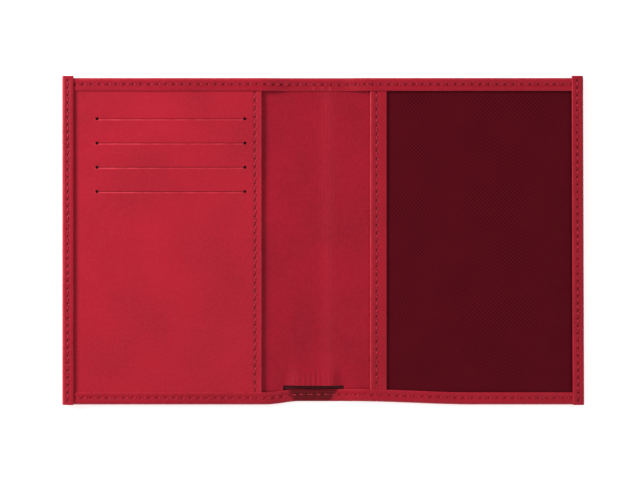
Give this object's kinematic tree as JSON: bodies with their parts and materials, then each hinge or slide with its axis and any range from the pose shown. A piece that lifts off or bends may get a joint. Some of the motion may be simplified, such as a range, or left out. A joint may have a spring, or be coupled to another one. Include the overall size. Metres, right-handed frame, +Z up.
{
  "type": "passport holder wallet",
  "caption": "Folding leather wallet with a slotted card panel on one half and a net passport pocket on the other.",
  "frame": {"origin": "middle of the outer cover's underside, under the centre of the open wallet", "axes": "+X from the card half to the net half, across the fold; +Y to the top edge; +Z up, out of the open inside"},
  "size_m": [0.222, 0.1396, 0.0048],
  "materials": {
    "cover_leather": "smooth fine-grained calf, soft sheen",
    "turned_leather": "smooth fine-grained calf, soft sheen",
    "lining_leather": "smooth, satin",
    "thread": "waxed polyester sewing thread",
    "net": "fine woven nylon net",
    "lining_cloth": "thin woven nylon",
    "stiffener": "raw bonded leather board"
  },
  "bodies": {
    "left_cover": {"left_cover_leather": "cover_leather", "left_stiffener": "stiffener", "left_pocket_lining": "lining_cloth", "left_spine_lining": "lining_leather", "card_liner_1": "lining_cloth", "card_liner_2": "lining_cloth", "card_liner_3": "lining_cloth", "card_liner_4": "lining_cloth", "card_panel": "cover_leather", "card_panel_thread": "thread", "left_top_hem": "turned_leather", "left_top_thread": "thread", "left_bottom_hem": "turned_leather", "left_bottom_thread": "thread", "left_side_hem": "turned_leather", "left_side_thread": "thread"},
    "spine": {"spine_cover": "cover_leather", "spine_lining": "lining_leather", "spine_top_hem": "turned_leather", "spine_top_thread": "thread", "spine_bottom_hem": "turned_leather", "spine_bottom_thread": "thread"},
    "right_cover": {"right_cover_leather": "cover_leather", "right_stiffener": "stiffener", "right_pocket_lining": "lining_cloth", "right_spine_lining": "lining_leather", "net_panel": "net", "net_edge_strip": "turned_leather", "net_edge_thread": "thread", "right_top_hem": "turned_leather", "right_top_thread": "thread", "right_bottom_hem": "turned_leather", "right_bottom_thread": "thread", "right_side_hem": "turned_leather", "right_side_thread": "thread"}
  },
  "joints": [
    {"name": "left_spine_fold", "type": "hinge", "parent": "left_cover", "child": "spine", "pos_m": [-0.0055, 0, 0], "axis": [0, -1, 0], "range_deg": [0, 90]},
    {"name": "right_spine_fold", "type": "hinge", "parent": "spine", "child": "right_cover", "pos_m": [0.0055, 0, 0], "axis": [0, -1, 0], "range_deg": [0, 90]}
  ],
  "couplings": [
    {"joint": "right_spine_fold", "follows": "left_spine_fold", "ratio": 1}
  ]
}
